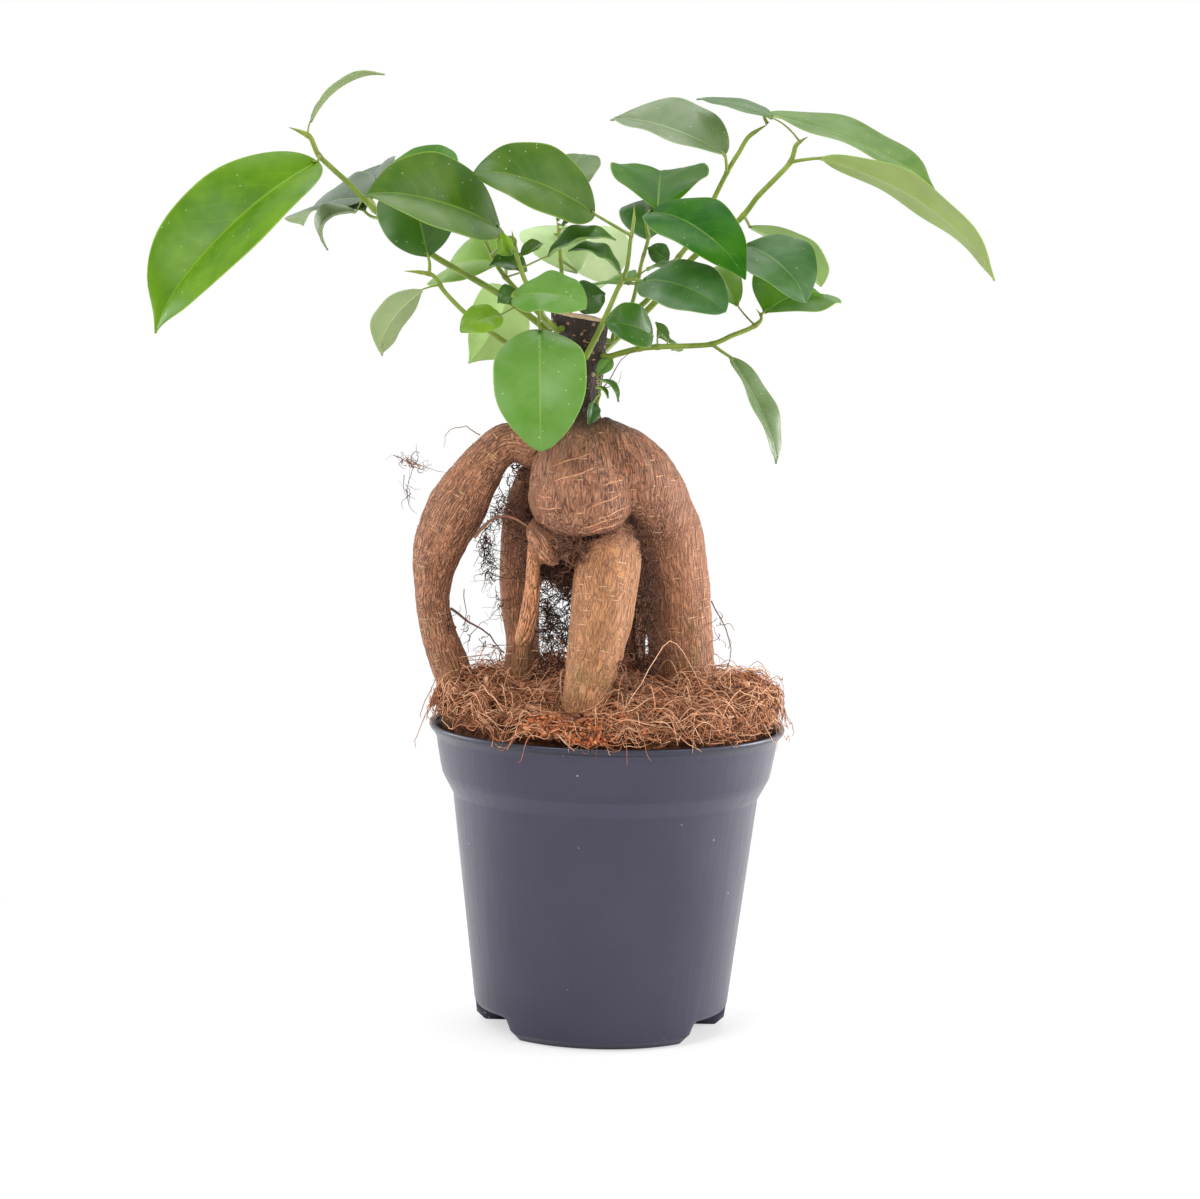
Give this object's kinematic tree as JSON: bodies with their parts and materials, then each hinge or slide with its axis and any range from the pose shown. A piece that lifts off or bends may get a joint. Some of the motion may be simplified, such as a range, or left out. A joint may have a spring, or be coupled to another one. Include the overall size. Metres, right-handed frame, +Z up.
{
  "type": "potted ginseng ficus bonsai",
  "caption": "Ginseng ficus bonsai with thick stilt roots, grafted green shoots and glossy oval leaves, planted in coir in a tapered round plastic nursery pot.",
  "frame": {"origin": "centre of the pot's underside, where the plant stands", "axes": "+Z up, -Y towards the front, where the front root and the broken root stub are, +X to the right seen from the front"},
  "size_m": [0.2762, 0.12, 0.3197],
  "materials": {
    "pot_plastic": "satin",
    "coir_fibre": "fibrous, matte",
    "bark": "matte bark",
    "shoot_skin": "satin",
    "leaf_green": "glossy",
    "leaf_pale": "satin"
  },
  "bodies": {
    "root": {"coir_substrate": "coir_fibre", "leaf_big_front": "leaf_green", "leaf_centre_curled": "leaf_green", "leaf_centre_low": "leaf_green", "leaf_crown_back": "leaf_green", "leaf_crown_front": "leaf_green", "leaf_far_right_lower": "leaf_green", "leaf_far_right_upper": "leaf_green", "leaf_front_curled": "leaf_green", "leaf_front_right": "leaf_green", "leaf_front_young": "leaf_pale", "leaf_inner_blue": "leaf_green", "leaf_inner_narrow": "leaf_green", "leaf_inner_pale": "leaf_pale", "leaf_inner_small": "leaf_green", "leaf_left_back": "leaf_green", "leaf_left_droop": "leaf_green", "leaf_left_end": "leaf_green", "leaf_left_front": "leaf_green", "leaf_left_hanging": "leaf_green", "leaf_left_low": "leaf_green", "leaf_left_mid": "leaf_green", "leaf_left_mid_rear": "leaf_green", "leaf_left_pale_low": "leaf_pale", "leaf_left_rear": "leaf_green", "leaf_left_top": "leaf_green", "leaf_middle_curled": "leaf_green", "leaf_middle_dark": "leaf_green", "leaf_neck_back": "leaf_green", "leaf_neck_dark": "leaf_green", "leaf_neck_right": "leaf_green", "leaf_rear_pale_left": "leaf_pale", "leaf_rear_pale_right": "leaf_pale", "leaf_right_behind": "leaf_green", "leaf_right_bright": "leaf_green", "leaf_right_dark": "leaf_green", "leaf_right_front": "leaf_green", "leaf_right_hanging": "leaf_green", "leaf_right_high": "leaf_green", "leaf_right_pale": "leaf_pale", "leaf_right_saddle": "leaf_green", "leaf_side_lower": "leaf_green", "leaf_side_upper": "leaf_green", "leaf_top_right": "leaf_green", "pot": "pot_plastic", "shoot_centre": "shoot_skin", "shoot_crown_left": "shoot_skin", "shoot_front": "shoot_skin", "shoot_inner_right": "shoot_skin", "shoot_lower_left": "shoot_skin", "shoot_lower_right": "shoot_skin", "shoot_middle": "shoot_skin", "shoot_neck_side": "shoot_skin", "shoot_rear_right": "shoot_skin", "shoot_upper_left": "shoot_skin", "shoot_upper_right": "shoot_skin", "trunk_and_roots": "bark"}
  },
  "joints": []
}
